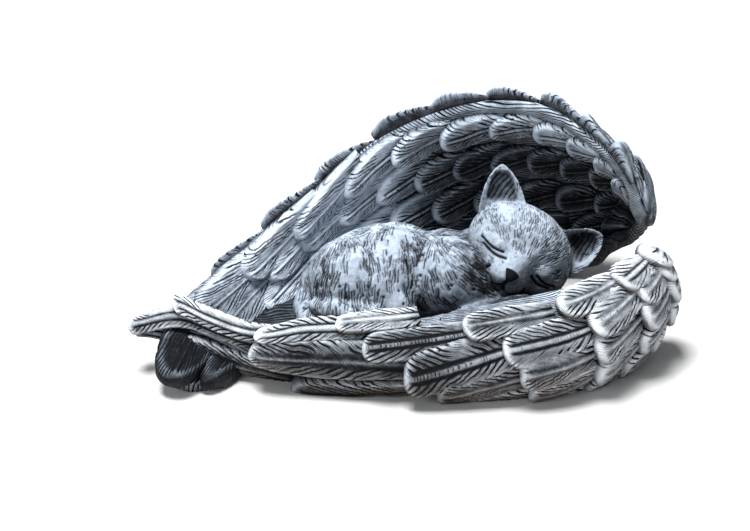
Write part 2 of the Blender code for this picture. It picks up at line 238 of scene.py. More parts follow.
def piece_from_tubes(name, tubes):
    """One piece from many (rings, numbers) pairs. What is below the ground is raised to it."""
    points, faces = join([np.maximum(rings, (-np.inf, -np.inf, 0.0)) for rings, _ in tubes])
    numbers = {
        title: np.concatenate([carry(values[title], rings) for rings, values in tubes])
        for title in tubes[0][1]
    }
    piece = lay_mesh(name, points, faces, numbers)
    triangles = sum(len(face) - 2 for face in faces)
    print(f"{name}: {len(tubes)} surfaces, {triangles} triangles")
    return piece


# %% [markdown]
# ## Hills and cuts
#
# Poured stone is never quite even, and the tool of whoever carved the master left cuts in it. Four
# small functions make both: a smooth step, a narrow bump, a cut at each whole number, and *value
# noise*, which is random heights on a grid with smooth slopes between them. The heights come from
# mixing the grid's own numbers, so the same hills grow on every run.

# %% Hills and cuts in stone


def rise_between(value, low, high):
    """0 below low and 1 above high, by 3t^2 - 2t^3 between; falls if low is above high."""
    t = np.clip((value - low) / (high - low), 0, 1)
    return t * t * (3 - 2 * t)


def cut_of(comb):
    """One narrow cut for each whole step of the comb: the top part of a sine wave."""
    return rise_between(np.sin(2 * math.pi * comb), 0.15, 0.95)


def bell(distance, spread):
    """The Gaussian exp(-(d/spread)^2)."""
    return np.exp(-((distance / spread) ** 2))


def hills(x, y, seed):
    """Smooth random hills from 0 to 1. Each crossing of a unit grid gets a random height, and
    between crossings the heights are blended by 3t^2 - 2t^3 both ways."""
    column, row = np.floor(x).astype(np.int64), np.floor(y).astype(np.int64)
    across, up = x - column, y - row
    across, up = across * across * (3 - 2 * across), up * up * (3 - 2 * up)

    def height(i, j):
        mixed = (i * 374761393 + j * 668265263 + seed * 362437) & 0xFFFFFFFF
        mixed = ((mixed ^ (mixed >> 13)) * 1274126177) & 0xFFFFFFFF
        return ((mixed ^ (mixed >> 16)) & 0xFFFF) / 65535

    low = height(column, row) * (1 - across) + height(column + 1, row) * across
    high = height(column, row + 1) * (1 - across) + height(column + 1, row + 1) * across
    return low * (1 - up) + high * up


print("smooth step at 0, 1/4 and 1:", rise_between(np.array([0.0, 0.25, 1.0]), 0, 1))

# %% [markdown]
# ## The wall and the bed
#
# The wall shows only in the gaps between feathers and along the rims. It is a flattened tube whose
# rings go up the outside and down the inside. The bed is the floor that joins the feet of the two
# wings; its top is a little uneven, as poured stone is. Both carry long shallow cuts. Each point of
# one cut shares a number, the *comb*, which grows by one from cut to cut.

# %% Walls and bed
WALL_CUT_SPACING, WALL_CUT_DEPTH, WALL_ROUGHNESS = 2.1, 0.45, 0.8
BED_CUT_SPACING, BED_ROUGHNESS = 2.4, 1.6
BED_START, BED_END = 0.17, 0.80
WALL_RINGS, WALL_ROWS, BED_RINGS, BED_ROWS = 180, 44, 70, 40


def near_rim(u, v):
    """1 along the rim of a wing's shoulder end and 0 elsewhere; it makes that rim paler."""
    return rise_between(u, 0.60, 0.80) * rise_between(v, 0.80, 0.95)


def wing_wall(wing, seed):
    """Rings round the wall: v rises 0 to 1 outside, at +half thickness, and falls inside, at -half.
    Along it run shallow cuts, bent and faded by hills."""
    rise = np.linspace(0, 1, WALL_ROWS)
    v = np.concatenate([[-0.02], rise, [1.01, 1.025, 1.01], rise[::-1]])
    side = np.concatenate([[0], np.ones(WALL_ROWS), [0.8, 0, -0.8], -np.ones(WALL_ROWS)])
    u, v = np.meshgrid(np.linspace(0, 1, WALL_RINGS), v, indexing="ij")
    length, height = u * wing.length, v * np.linalg.norm(wing.slopes(u, v)[1], axis=-1)
    comb = height / WALL_CUT_SPACING + 1.6 * hills(length / 24, height / 9, seed)
    comb = comb + 0.4 * hills(length / 6, height / 3, seed + 1)
    depth = 0.2 + 0.8 * rise_between(hills(length / 12, height / 4, seed + 2), 0.25, 0.65)
    depth = np.maximum(depth, rise_between(u, 0.7, 0.8)) * rise_between(v, 0.0, 0.2)
    rough = WALL_ROUGHNESS * (hills(length / 5, height / 5, seed + 3) - 0.5)
    rough = rough - WALL_CUT_DEPTH * cut_of(comb) * depth
    # Painted shade: the wall below its rim is darkened by the tuck number, as it shows only in the gaps
    # between feathers, and in_shadow darkens the low part of the wall at the shoulder end still more.
    # Along the shoulder rim the wall is made paler.
    in_shadow = rise_between(u, 0.70, 0.85) * rise_between(v, 0.35, 0.12)
    wear_and_painted_light = 0.55 - 0.6 * in_shadow + 0.4 * near_rim(u, v)
    tuck_shade = 0.45 * (1 - rise_between(v, 0.85, 0.97))
    numbers = {"comb": comb, "depth": depth, "gutter": 0.0, "wear_and_painted_light": wear_and_painted_light, "tuck_shade": tuck_shade}
    return wing.point(u, v, (half_wall(v) + rough) * side), numbers


def bed_rings(front, back):
    """Rings across the nest: underside out, then back over the top, from one wing's foot to the
    other's. The top's height is the bed's thickness plus small hills."""
    u = np.linspace(BED_START, BED_END, BED_RINGS)
    share = np.linspace(0, 1, BED_ROWS)
    feet = [wing.middle(u, np.zeros_like(u)) for wing in (front, back)]
    across = feet[0][:, None] * (1 - share[None, :, None]) + feet[1][:, None] * share[None, :, None]
    top, under = across.copy(), across[:, ::-1].copy()
    top[..., 2] = BED_THICKNESS + BED_ROUGHNESS * (hills(top[..., 0] / 7, top[..., 1] / 7, 5) - 0.5)
    under[..., 2] = 0.0
    rings = np.concatenate([top, under], axis=1)
    comb = rings[..., 1] / BED_CUT_SPACING + 1.2 * hills(rings[..., 0] / 9, rings[..., 1] / 9, 6)
    # The bed is made dark: little paleness, and a painted shade by the tuck number.
    return rings, {"comb": comb, "depth": 0.8, "gutter": 0.0, "wear_and_painted_light": 0.1, "tuck_shade": 0.5}


walls = piece_from_tubes(
    "wing_walls_and_bed",
    [wing_wall(front_wing, 3), wing_wall(back_wing, 4), bed_rings(front_wing, back_wing)],
)

# %% [markdown]
# ## One feather
#
# A carved feather is a long tongue that rises off the wall towards its round tip, is thickest at the
# tip, and dives under the tip of the feather before it. We compute it as a grid: `s` runs from the
# buried root (0) to the tip (1) and `t` from one edge (-1) to the other (1). A *superellipse* makes
# both the blunt tip and the pillowed top: it stays flat in the middle and falls quickly at the edge.
#
# The barbs are real cuts in the stone, so they are cut into the mesh too. They leave the shaft at a
# slant and run to the edge. Their comb number is the distance from the tip plus a slope times the
# distance from the shaft, divided by the pitch, with smooth hills added so that no barb is straight.
# Small random changes in size, lean and depth keep the rows from looking stamped.

# %% The barbs and the outline of a feather
FEATHER_THICKNESS, FEATHER_LIFT, FEATHER_SINK, FEATHER_TILT = 4.8, 4.0, 1.6, 0.35
BROAD = 20.0  # the width at which a feather has just these sizes, its full thickness and slant
BARB_SPACING, BARB_SLANT, BARB_DEPTH, NOTCH_DEPTH = 1.75, 2.3, 0.75, 0.55
SHAFT_SPREAD, SHAFT_HEIGHT = 0.75, 0.45
GUTTER_PLACE, GUTTER_SPREAD, GUTTER_DEPTH = 1.5, 0.5, 0.4
EDGE_ROLL_PLACE, EDGE_ROLL_SPREAD, EDGE_ROLL_HEIGHT = 0.86, 0.09, 0.45
ROOT, BLUNTNESS = 0.15, 0.62
TIP_RINGS = np.sin(np.linspace(0, math.pi / 2, 13)[1:] * 0.985)
UNDERSIDE = (0.93, 0.0, -0.93)  # the three points that close each ring inside the wall


def painted_light_and_shade(wing, side, u, v):
    """Painted light and shade, added to the paleness number. Inside the back wing: painted light on
    the open feathers beside the cat, paler along the shoulder rim, painted shade in the hood and on
    the hanging tail. Outside the front wing: painted light on the top ledge, paler towards the
    shoulder, painted shade on the belly and the middle."""
    # Each region's term is painted light above zero or painted shade below zero.
    if wing is back_wing:
        hood = rise_between(u, 0.46, 0.68) * rise_between(v, 0.93, 0.78)
        tail = rise_between(u, 0.16, 0.04)
        open_side = rise_between(u, 0.14, 0.30) * rise_between(u, 0.60, 0.38)
        return (side < 0) * (0.8 * open_side + 0.45 * near_rim(u, v) - 0.60 * hood - 0.9 * tail)
    belly = rise_between(v, 0.45, 0.1) * rise_between(u, 0.8, 0.6)
    middle = rise_between(u, 0.2, 0.3) * rise_between(u, 0.62, 0.5) * rise_between(v, 1.0, 0.85)
    ledge = rise_between(v, 0.9, 1.05)
    shoulder = rise_between(u, 0.66, 0.82)
    return (side > 0) * (0.28 * shoulder + 0.4 * ledge - 0.2 * belly - 0.3 * middle)


def half_width_at(s, tip, width):
    """Half the width: a slow swell until s is 0.6, then (1-tip^2.3)^(1/2.3) over the blunt tip."""
    swell = 0.6 + 0.4 * np.sin(np.clip(s / 0.6, 0, 1) * math.pi / 2)
    return swell * (1 - tip**2.3) ** (1 / 2.3) * width / 2


def barbs(from_tip, across, slant, seed):
    """The comb number, and how deep the cut is there, 0 to 1: none near the tip and on the shaft,
    patchy elsewhere, and each barb has a depth of its own too."""
    pitch = BARB_SPACING * math.hypot(1, slant)
    bend = 1.5 * hills(from_tip / 15, across / 8, seed) + 0.6 * hills(from_tip / 5, across / 3, seed + 2)
    comb = (from_tip + slant * np.abs(across)) / pitch + bend + seed * 0.37
    patchy = 0.1 + 0.9 * rise_between(hills(from_tip / 9, across / 3 + 9, seed + 5), 0.25, 0.62)
    own = hills(np.floor(comb + 0.25) * 1.7 + 0.5, across / 6, seed + 9)
    patchy = patchy * (0.25 + 0.75 * rise_between(own, 0.15, 0.6))
    return comb, patchy * rise_between(from_tip, 1.0, 3.4) * rise_between(np.abs(across), 0.8, 1.9)


print("barbs every", BARB_SPACING, "mm across the cuts, cut", BARB_DEPTH, "mm deep")

# %% The shape of a feather


def lay_on_wall(wing, u_tip, v_tip, turn, length, from_tip, across):
    """Addresses on the wall of points so many millimetres behind a feather's tip and beside its
    middle line. Millimetres become u and v by the wall's own slopes at the feather's middle."""
    heading = np.array([math.cos(turn), math.sin(turn)])
    aside = np.array([-math.sin(turn), math.cos(turn)])
    u_mid, v_mid = np.array(u_tip), np.array(v_tip)
    for _ in range(2):
        scale = np.array([np.linalg.norm(slope) for slope in wing.slopes(u_mid, v_mid)])
        half = heading * length / 2 / scale
        u_mid, v_mid = u_tip + half[0], v_tip + half[1]
    u = u_tip + (from_tip * heading[0] + across * aside[0]) / scale[0]
    v = v_tip + (from_tip * heading[1] + across * aside[1]) / scale[1]
    return u, v


def feather(wing, side, u_tip, v_tip, length, width, lean, chance, step, lanes):
    """Height off the wall: lift * s plus thickness * (0.7 sqrt(1-r^6) + 0.3 (1-r^2)), where r is 0 on
    the shaft and 1 on the outline, plus the shaft and a low roll near the edge, less the barbs and
    the gutters beside the shaft. Rings stand a step apart, with that many lanes across 20 mm."""
    length = length * chance.uniform(0.94, 1.06)
    width = width * chance.uniform(0.93, 1.10)
    turn = math.radians(lean + chance.uniform(-3.0, 3.0))
    lift = FEATHER_LIFT * chance.uniform(0.75, 1.2)
    sickle = chance.uniform(-0.03, 0.05) * length
    seed = int(chance.integers(1, 9999))
    slant = BARB_SLANT * max(1.0, width / BROAD) ** 2 * chance.uniform(0.8, 1.35)
    blunt = 1 - BLUNTNESS * width / length
    straight = np.linspace(ROOT, blunt, max(10, int(length * (blunt - ROOT) / step)))
    s = np.concatenate([straight, blunt + (1 - blunt) * TIP_RINGS])[:, None]
    lanes = int(lanes * max(0.7, width / BROAD))
    t = np.concatenate([np.sin(np.linspace(-math.pi / 2, math.pi / 2, lanes)), UNDERSIDE])[None, :]
    on_top = np.concatenate([np.ones(lanes), np.zeros(len(UNDERSIDE))])[None, :]
    tip = np.clip((s - blunt) / (1 - blunt), 0, 1)
    from_tip = (1 - s) * length + 0.0 * t
    half_width = half_width_at(s, tip, width)
    edge_comb, edge_depth = barbs(from_tip, np.sign(t) * half_width, slant, seed)
    notch = cut_of(edge_comb) * edge_depth
    across = t * (half_width - np.minimum(NOTCH_DEPTH * notch, 0.5 * half_width))
    comb, depth = barbs(from_tip, across, slant, seed)
    bowed = across + sickle * (1 - s) ** 2
    u, v = lay_on_wall(wing, u_tip, v_tip, turn, length, from_tip, bowed)
    r = np.sqrt(np.clip(tip**2 + t**2 * (1 - tip**2), 0, 1))
    thick = FEATHER_THICKNESS * (width / BROAD) ** 0.6 * (0.55 + 0.45 * s)
    pillow = 0.7 * np.sqrt(np.clip(1 - r**6, 0, 1)) + 0.3 * (1 - r**2)
    behind_tip = rise_between(from_tip, 2.0, 6.0)
    shaft = bell(across, SHAFT_SPREAD) * behind_tip
    gutters = bell(np.abs(across) - GUTTER_PLACE, GUTTER_SPREAD) * behind_tip
    raised = lift * s * (1.0 - FEATHER_TILT * t) - FEATHER_SINK * (1 - s) + thick * pillow
    raised = raised + EDGE_ROLL_HEIGHT * bell(r - EDGE_ROLL_PLACE, EDGE_ROLL_SPREAD)
    raised = raised + 0.6 * (hills(from_tip / 7, across / 5, seed + 1) - 0.5)
    raised = raised - BARB_DEPTH * cut_of(comb) * depth + SHAFT_HEIGHT * shaft - GUTTER_DEPTH * gutters
    raised = np.where(on_top == 1, np.maximum(raised, 0.2 - FEATHER_SINK), -FEATHER_SINK)
    # worn is the pale brush's wear on the edge roll, the shaft and near the tip. The tuck number is a
    # painted shade on the top near the root, where the feather lies under its neighbour, on the underside,
    # and along the side walls at the outline.
    worn = 0.2 + 0.5 * bell(r - 0.84, 0.12) + 0.25 * shaft + 0.2 * rise_between(from_tip, 7, 1)
    tuck_shade = 0.5 - on_top * rise_between(s, 0.15, 0.42) + rise_between(r, 0.955, 1.0)
    numbers = {
        "comb": comb,
        "depth": depth * on_top,
        "gutter": gutters * on_top,
        # The paleness number is the brush's wear plus the painted light and shade of the region.
        "wear_and_painted_light": 0.25 + on_top * (worn + painted_light_and_shade(wing, side, u, v)),
        "tuck_shade": np.clip(tuck_shade, 0, 1),
    }
    return wing.point(u, v, side * (half_wall(v) + raised)), numbers


one_feather = feather(back_wing, 1, 0.5, 0.5, 50, 20, 0, np.random.default_rng(1), 0.75, 31)[0]
print("one feather:", one_feather.shape[0], "rings of", one_feather.shape[1], "points")

# %% [markdown]
# ## Rows of feathers
#
# Feathers lie in rows like roof tiles. A row is written in this order: the (u, v) addresses of its
# first and last tip, a count, how much the tips crowd towards the shoulder, how the row bends, and
# then the length, width and lean of its first and last feather. The tips crowd together towards the
# shoulder, where a real wing's small coverts are. A feather is sunk at its root and stands proud at
# its tip, so each tip lies over the roots of the feathers that it covers.

# %% Feather rows
FRONT_OUTSIDE_ROWS = (
    ((-0.010, 0.90), (0.035, 0.10), 2, 1.0, 1.0, (100, 84), (11, 12), (0, 0)),
    ((0.075, 1.15), (0.355, 1.04), 3, 1.0, 1.0, (66, 50), (10, 12), (-4, -4)),
    ((0.210, 0.74), (0.93, 0.93), 6, 1.35, 1.0, (84, 24), (15, 17), (0, 10)),
    ((0.285, 0.22), (0.93, 0.80), 6, 1.45, 0.5, (86, 24), (19, 14), (2, 12)),
    ((0.517, 0.30), (0.93, 0.62), 5, 1.3, 0.7, (52, 24), (20, 15), (4, 12)),
    ((0.562, 0.06), (0.93, 0.40), 5, 1.2, 0.7, (50, 24), (18, 14), (4, 12)),
    ((0.690, 0.00), (0.92, 0.16), 4, 1.1, 0.7, (44, 26), (18, 14), (4, 8)),
)
FRONT_INSIDE_ROWS = (
    ((0.080, 0.60), (0.90, 0.88), 8, 1.3, 1.0, (66, 26), (12, 15), (-4, 4)),
    ((0.250, 0.30), (0.90, 0.48), 6, 1.3, 1.0, (60, 26), (16, 15), (0, 4)),
)
BACK_INSIDE_ROWS = (
    ((-0.015, 0.86), (-0.015, 0.14), 2, 1.0, 1.0, (100, 90), (27, 25), (0, 0)),
    ((0.130, 0.60), (0.300, 0.14), 3, 1.0, 1.0, (66, 60), (24, 20), (4, 8)),
    ((0.120, 0.93), (0.95, 0.90), 11, 1.2, 1.0, (66, 20), (26, 14), (0, 8)),
    ((0.245, 0.69), (0.91, 0.70), 11, 1.15, 1.0, (56, 22), (24, 16), (4, 14)),
    ((0.330, 0.45), (0.93, 0.47), 9, 1.1, 1.0, (50, 24), (23, 16), (8, 14)),
    ((0.470, 0.23), (0.93, 0.26), 6, 1.0, 1.0, (46, 24), (23, 17), (8, 10)),
)
BACK_OUTSIDE_ROWS = (
    ((0.150, 0.82), (0.93, 0.90), 9, 1.15, 1.0, (60, 26), (22, 15), (-6, 0)),
    ((0.090, 1.04), (0.92, 1.00), 10, 1.10, 1.0, (56, 24), (17, 13), (-14, -4)),
    ((0.010, 0.56), (0.93, 0.76), 8, 1.2, 1.0, (80, 28), (24, 17), (-6, 4)),
    ((0.250, 0.40), (0.93, 0.56), 7, 1.2, 1.0, (70, 30), (24, 18), (0, 6)),
    ((0.330, 0.14), (0.90, 0.42), 7, 1.2, 1.0, (64, 30), (24, 17), (0, 6)),
    ((0.520, 0.02), (0.79, 0.16), 4, 1.1, 1.0, (56, 36), (24, 20), (2, 6)),
)


def row_tips(row):
    """For step x from 0 to 1, the share of the way is 1-(1-x)^crowding; u, length, width and lean
    follow the share, and v follows it to the power bend."""
    (u_first, v_first), (u_last, v_last), count, crowding, bend, lengths, widths, leans = row
    share = 1 - (1 - np.linspace(0, 1, count)) ** crowding
    u = u_first + (u_last - u_first) * share
    v = v_first + (v_last - v_first) * share**bend
    grow = [a + (b - a) * share for a, b in (lengths, widths, leans)]
    return zip(u, v, *grow, strict=True)


def feathers(name, wing, side, rows, seed, step=0.75, lanes=31):
    """One piece with every feather of the rows on one side of a wing."""
    chance = np.random.default_rng(seed)
    tubes = [feather(wing, side, *tip, chance, step, lanes) for row in rows for tip in row_tips(row)]
    return piece_from_tubes(name, tubes)


front_outside = feathers("front_wing_outer_feathers", front_wing, 1, FRONT_OUTSIDE_ROWS, 11)
front_inside = feathers("front_wing_inner_feathers", front_wing, -1, FRONT_INSIDE_ROWS, 12, 1.1, 23)
back_inside = feathers("back_wing_inner_feathers", back_wing, -1, BACK_INSIDE_ROWS, 13)
back_outside = feathers("back_wing_outer_feathers", back_wing, 1, BACK_OUTSIDE_ROWS, 14, 1.1, 21)

# %% [markdown]
# ## The cat's body
#
# A sleeping cat is a few soft masses run together: a long barrel, a thigh, a chest, legs and a tail
# wrapped round. Each is a tube through a few balls. Blender's *voxel remesh* melts the overlapping
# tubes into one skin with even little squares, and smoothing the skin a few times rounds the creases
# where two masses meet, just as a thumb does in clay.

# %% Limbs and how they melt together
# A limb is a row of balls, each a centre and a radius in millimetres.
TORSO = (
    ((-40, 14, 20), 14), ((-27, 16, 29), 22), ((-5, 15, 31), 27),
    ((13, 13, 29), 24), ((27, 10, 30), 24), ((40, 6, 32), 19),
)
TAIL = (
    ((-36, 20, 26), 10), ((-45, 9, 24), 10), ((-47, -6, 20), 9),
    ((-40, -19, 19), 8), ((-24, -26, 18), 7), ((-8, -30, 15), 5),
)
HAUNCH = (((-32, 12, 29), 20), ((-25, 4, 33), 23.5), ((-8, -10, 26), 12))
HIND_PAW = (((-47, -9, 31), 3.5), ((-38, -16, 31), 6.5), ((-22, -22, 28), 8))
CHEST = (((21, 5, 33), 21), ((28, -4, 36), 20), ((41, -16, 29), 12))
FORE_PAW = (((8, -24, 18), 7), ((28, -29, 26), 8), ((52, -33, 33), 8))
NECK = (((30, 9, 33), 19), ((50, 3, 43), 19))
LIMBS = (TORSO, TAIL, HAUNCH, HIND_PAW, CHEST, FORE_PAW, NECK)


def limb_line(balls, count):
    """The limb's middle line, radius and heading at evenly spaced places along it."""
    places = np.linspace(0, len(balls) - 1, count)
    middle = spline(np.array([c for c, _ in balls], float), places)
    radius = spline(np.array([[r] for _, r in balls], float), places)[:, 0]
    return middle, radius, unit(np.gradient(middle, axis=0))


def limb(balls, count=30, sides=48):
    """Circles of the limb's radius across its heading, with rings of shrinking radius
    r sqrt(1-c^2) at c r beyond each end for round ends."""
    middle, radius, heading = limb_line(balls, count)
    cap = np.array([0.99, 0.9, 0.7, 0.4])
    start = middle[0] - heading[0] * radius[0] * cap[:, None]
    end = middle[-1] + heading[-1] * radius[-1] * cap[::-1, None]
    round_off = np.sqrt(1 - cap**2)
    middle = np.concatenate([start, middle, end])
    radius = np.concatenate([radius[0] * round_off, radius, radius[-1] * round_off[::-1]])
    heading = np.concatenate([heading[:1].repeat(4, 0), heading, heading[-1:].repeat(4, 0)])
    side = unit(np.cross(heading, (0.0, 0.0, 1.0)))
    rise = np.cross(side, heading)
    turn = np.linspace(0, 2 * math.pi, sides, endpoint=False)
    circle = np.cos(turn)[None, :, None] * side[:, None] + np.sin(turn)[None, :, None] * rise[:, None]
    return middle[:, None] + radius[:, None, None] * circle


def melt(tubes, grain):
    """The skin round overlapping tubes as even quads of the grain's size: points and quads."""
    rough = lay_mesh("rough_clay", *join(tubes), {})
    remesh = rough.modifiers.new("melt", "REMESH")
    remesh.mode = "VOXEL"
    remesh.voxel_size = grain * MM
    skin = rough.evaluated_get(bpy.context.evaluated_depsgraph_get()).data
    melted = np.empty(len(skin.vertices) * 3, np.float32)
    skin.vertices.foreach_get("co", melted)
    corners = np.empty(len(skin.loops), np.int32)
    skin.loops.foreach_get("vertex_index", corners)
    clay = rough.data
    bpy.data.objects.remove(rough)
    bpy.data.meshes.remove(clay)
    return melted.reshape(-1, 3).astype(float) / MM, corners.reshape(-1, 4)


def soften(points, quads, rounds):
    """Each round moves every point halfway to the mean of its neighbours."""
    edges = np.concatenate([quads[:, [0, 1]], quads[:, [1, 2]], quads[:, [2, 3]], quads[:, [3, 0]]])
    a, b = edges[:, 0], edges[:, 1]
    near = np.bincount(a, minlength=len(points)) + np.bincount(b, minlength=len(points))
    for _ in range(rounds):
        total = [
            np.bincount(a, points[b, k], len(points)) + np.bincount(b, points[a, k], len(points))
            for k in range(3)
        ]
        points = 0.5 * points + 0.5 * np.stack(total, 1) / near[:, None]
    return points


def point_normals(points, quads):
    """The mean direction of the faces round each point; a quad's is the cross of its diagonals."""
    a, b, c, d = (points[quads[:, k]] for k in range(4))
    facing = np.cross(c - a, d - b)
    total = [sum(np.bincount(corner, facing[:, k], len(points)) for corner in quads.T) for k in range(3)]
    return unit(np.stack(total, 1))


HIDDEN = 12.0  # the bed covers the body up to 17 mm, so its tubes are flattened a little below that
BODY_GRAIN, HEAD_GRAIN = 0.61, 0.40
tubes = [limb(balls) for balls in LIMBS]
for tube in tubes:
    tube[..., 2] = np.maximum(tube[..., 2], HIDDEN)
body, body_quads = melt(tubes, BODY_GRAIN)
body = soften(body, body_quads, 18)
print("body skin:", len(body_quads), "quads")

# %% [markdown]
# ## Combing the fur
#
# The fur is short strokes, cut into the wet master with a small loop tool, a few side by side at a
# time. We do the same. First we say how the coat lies at any point: down the flanks, turning along
# the body towards the neck, and round with the tail at the other end. Then we scatter bunches of
# strokes over the skin. Each stroke is a straight line that pushes in the points near it by a
# *Gaussian* of their distance, and fades out at its ends. The deepest stroke at a point wins.

# %% A comb of strokes
STROKE_LEAN, STROKE_BEND = 0.13, 0.012  # how far a bunch turns, in radians, and how far it bows


def lie_down(field, normals):
    """The field laid flat on the skin: what points along the normal is taken off it."""
    return unit(field - np.einsum("ij,ij->i", field, normals)[:, None] * normals)


def comb_fur(points, normals, lies, roots, chance, half_length, pitch, spread):
    """How deep each point is cut, 0 to 1, by bunches of two to four strokes, a pitch apart, round the
    root points. For a point at q from a stroke's middle, a = q.lie and b = q.side, and the depth is
    exp(-(b/spread)^2) times a fade where |a| passes the half length."""
    depth = np.zeros(len(points))
    for root in roots:
        turn = chance.normal(0, STROKE_LEAN)
        side = np.cross(normals[root], lies[root])
        lie = lies[root] * math.cos(turn) + side * math.sin(turn)
        side = np.cross(normals[root], lie)
        reach = half_length * 1.9 + 2 * pitch
        near = np.flatnonzero(np.abs(points - points[root]).max(1) < reach)
        near = near[normals[near] @ normals[root] > 0.35]
        offset = points[near] - points[root]
        a, b = offset @ lie, offset @ side
        b = b - chance.normal(0, STROKE_BEND) * a**2
        for lane in range(chance.integers(2, 5)):
            middle, half = chance.normal(0, 0.35) * half_length, half_length * chance.uniform(0.6, 1.25)
            off = (lane - 2) * pitch * chance.uniform(0.9, 1.1)
            stroke = bell(b - off, spread) * rise_between(half - np.abs(a - middle), 0, 1.2)
            depth[near] = np.maximum(depth[near], stroke * chance.uniform(0.45, 1.0))
    return depth


print("a stroke leans by up to about", round(math.degrees(2 * STROKE_LEAN)), "degrees")

# %% Cut the body's fur
BODY_BUNCHES, BODY_STROKE, FUR_DEPTH = 1000, (3.8, 1.35, 0.38), 0.6
BODY_PITS, PIT_RADIUS, PIT_DEPTH = 60, 0.75, 0.7


def body_coat(points, normals):
    """Down the flanks, turned by an angle that grows towards the neck in front and round with the
    tail behind: falling * cos(swing) + along_body * sin(swing), laid flat on the skin."""
    x, y, z = points.T
    to_neck = rise_between(x, 4, 44) * 1.25
    round_tail = rise_between(x, -30, -46) * (rise_between(z, 40, 12) * 1.7 - 0.35)
    swing = (to_neck + round_tail)[:, None]
    falling = np.stack([0 * x - 0.1, np.clip((y - 15) / 12, -0.6, 0.6), 0 * x - 0.8], 1)
    along_body = np.array([0.97, -0.2, -0.05])
    return lie_down(falling * np.cos(swing) + along_body * np.sin(swing), normals)


x, y, z = body.T
body_normals = point_normals(body, body_quads)
chance = np.random.default_rng(31)
on_show = np.flatnonzero((z > 16) & (body_normals[:, 2] > -0.35))
roots = chance.choice(on_show, BODY_BUNCHES)
roots = roots[hills(body[roots, 0] / 6 + 3, body[roots, 2] / 7, 8) > 0.24]
fur = comb_fur(body, body_normals, body_coat(body, body_normals), roots, chance, *BODY_STROKE)
pits = np.zeros(len(body))
for root in chance.choice(on_show, BODY_PITS):
    pits = np.maximum(pits, bell(np.linalg.norm(body - body[root], axis=1), PIT_RADIUS))
lumpy = 0.5 * (hills(x / 5, y / 5 + z / 6, 12) - 0.5)
body_carved = body + body_normals * (lumpy - FUR_DEPTH * fur - PIT_DEPTH * pits)[:, None]
# Painted light and shade on the body: its paleness rises where the skin faces up, and a painted shade
# darkens the lower neck and chest under the head.
painted_shade_under_chin = rise_between(x, 16, 34) * rise_between(z, 62, 46)
cat_body = lay_mesh(
    "cat_body", body_carved, body_quads.tolist(),
    {
        "cut": np.maximum(fur, pits),
        "wear_and_painted_light": 0.50 + 0.32 * body_normals[:, 2] - 0.55 * painted_shade_under_chin,
        "dark": np.zeros(len(body)),
    },
)
print(len(roots), "bunches of strokes; cut over", int((fur > 0.3).mean() * 100), "% of the body")

# %% [markdown]
# ## The head
#
# The head is an egg with soft lumps: muzzle, cheeks, eyelids, brow. We add each lump as a *Gaussian*
# bump, so they all blend. A lump has a direction, a height in millimetres and a spread in radians,
# and a height below zero makes a hollow. The head has its own axes, side, forward and up, tilted
# towards the shoulders as the cat leans its chin on the wing. The ears are hollowed leaves.

# %% Skull and ears
HEAD_CENTRE = (59.0, -0.5, 48.0)
SKULL_RADII = (28.0, 21.5, 22.5)
HEAD_TILT, HEAD_NOD, FACE_YAW = 35.0, 2.0, 8.0
FRONT_AZIMUTH, FRONT_ELEVATION = -10.0, 30.0  # where the onlooker stands, in degrees
MIDDLE_LUMPS = (
    ((-0.06, 1.00, -0.62), 6.0, 0.28),
    ((-0.08, 1.00, -0.54), 2.6, 0.10),
    ((0.26, 1.00, -0.84), 3.8, 0.17),
    ((-0.42, 1.00, -0.84), 3.8, 0.17),
    ((0.00, 0.80, -1.00), 2.0, 0.15),
    ((0.00, 1.00, -0.15), 1.6, 0.16),
)
PAIRED_LUMPS = (
    ((0.66, 1.00, -0.24), -3.0, 0.22),
    ((0.68, 1.00, -0.22), 3.0, 0.14),
    ((1.00, 0.60, -0.55), 2.5, 0.30),
)
MIRRORED_LUMPS = tuple(((k * x, y, z), *size) for (x, y, z), *size in PAIRED_LUMPS for k in (1, -1))
HEAD_LUMPS = MIDDLE_LUMPS + MIRRORED_LUMPS
EAR_ROOT, EAR_TIP = (21.0, -3.0, 13.0), (32.0, -4.0, 30.0)
EAR_HALF_WIDTH, EAR_HALF_THICKNESS, EAR_HOLLOW = 12.5, 2.6, 6.5


def onlooker():
    """The onlooker's right, the way from the cat to the onlooker, and the picture's up."""
    azimuth, elevation = math.radians(FRONT_AZIMUTH), math.radians(FRONT_ELEVATION)
    right = np.array([math.cos(azimuth), math.sin(azimuth), 0.0])
    towards = np.array([
        math.sin(azimuth) * math.cos(elevation),
        -math.cos(azimuth) * math.cos(elevation),
        math.sin(elevation),
    ])
    return right, towards, np.cross(right, -towards)


def head_axes():
    """Side, forward and up of the face: an onlooker's right, line of sight and up, tilted in the
    picture, nodded down and turned a little aside."""
    right, towards, overhead = onlooker()
    tilt, nod, yaw = (math.radians(a) for a in (HEAD_TILT, HEAD_NOD, FACE_YAW))
    side = right * math.cos(tilt) - overhead * math.sin(tilt)
    up = right * math.sin(tilt) + overhead * math.cos(tilt)
    forward = towards * math.cos(nod) - up * math.sin(nod)
    up = up * math.cos(nod) + towards * math.sin(nod)
    turned = forward * math.cos(yaw) + side * math.sin(yaw)
    return np.stack([side * math.cos(yaw) - forward * math.sin(yaw), turned, up])


AXES = head_axes()


def in_head(local):
    """From (side, forward, up) in the head to the nest."""
    return np.asarray(local) @ AXES + np.array(HEAD_CENTRE)


